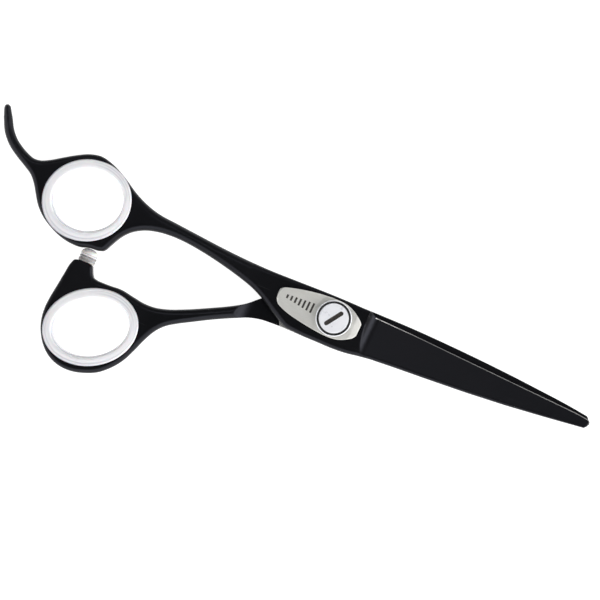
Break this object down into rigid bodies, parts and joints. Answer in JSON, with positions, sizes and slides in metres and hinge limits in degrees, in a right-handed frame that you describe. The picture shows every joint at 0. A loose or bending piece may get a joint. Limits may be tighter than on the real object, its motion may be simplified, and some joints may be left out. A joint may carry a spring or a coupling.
{
  "type": "hair cutting shears",
  "caption": "Hair cutting shears with two crossed black-coated halves, offset handles, soft ring inserts, a fixed finger rest, a bumper and a click-stop tension dial on a ball-bearing pivot.",
  "frame": {"origin": "on the pivot axis, in the plane that the closed shears rest on, at the middle of the pivot bolt's flush head", "axes": "+X from the pivot to the blade tips, +Y to the finger-ring side, +Z along the pivot axis towards the tension dial"},
  "size_m": [0.1683, 0.0564, 0.0077],
  "materials": {
    "black_coat": "satin",
    "bare_steel": "fine ground",
    "polished_steel": "polished",
    "brushed_nickel": "brushed",
    "white_silicone": "matte, slightly translucent",
    "clear_rubber": "translucent satin",
    "black_rubber": "satin",
    "black_enamel": "satin",
    "bronze": "machined",
    "brass": "machined",
    "washer_polymer": "matte",
    "spring_steel": "blued"
  },
  "bodies": {
    "finger_half": {"finger_half": "black_coat", "finger_ring_insert": "white_silicone", "cover_plate": "brushed_nickel", "plate_mark_fill": "black_enamel", "cover_plate_pins": "bare_steel", "pivot_bush": "bronze", "lower_race": "bare_steel"},
    "thumb_half": {"thumb_half": "black_coat", "thumb_ring_insert": "white_silicone", "bumper": "clear_rubber", "bumper_stud": "bare_steel", "pivot_bolt": "polished_steel", "ride_washer": "washer_polymer", "upper_race": "bare_steel", "disc_spring": "spring_steel"},
    "bearing_cage": {"bearing_cage": "brass", "bearing_balls": "polished_steel"},
    "click_washer": {"click_washer": "bare_steel"},
    "tension_dial": {"tension_dial": "polished_steel", "dial_ring": "black_rubber"}
  },
  "joints": [
    {"name": "blade_pivot", "type": "hinge", "parent": "finger_half", "child": "thumb_half", "pos_m": [0, 0, 0], "axis": [0, 0, 1], "range_deg": [0, 80]},
    {"name": "cage_roll", "type": "hinge", "parent": "finger_half", "child": "bearing_cage", "pos_m": [0, 0, 0], "axis": [0, 0, 1], "range_deg": [0, 40]},
    {"name": "dial_travel", "type": "slide", "parent": "thumb_half", "child": "click_washer", "axis": [0, 0, 1], "range_m": [-0.0000875, 0.0000875], "deforming": ["disc_spring"]},
    {"name": "dial_turn", "type": "hinge", "parent": "click_washer", "child": "tension_dial", "pos_m": [0, 0, 0], "axis": [0, 0, 1], "range_deg": [-90, 90]}
  ],
  "couplings": [
    {"joint": "cage_roll", "follows": "blade_pivot", "ratio": 0.5},
    {"joint": "dial_turn", "follows": "dial_travel", "rad_per_m": 17951}
  ]
}
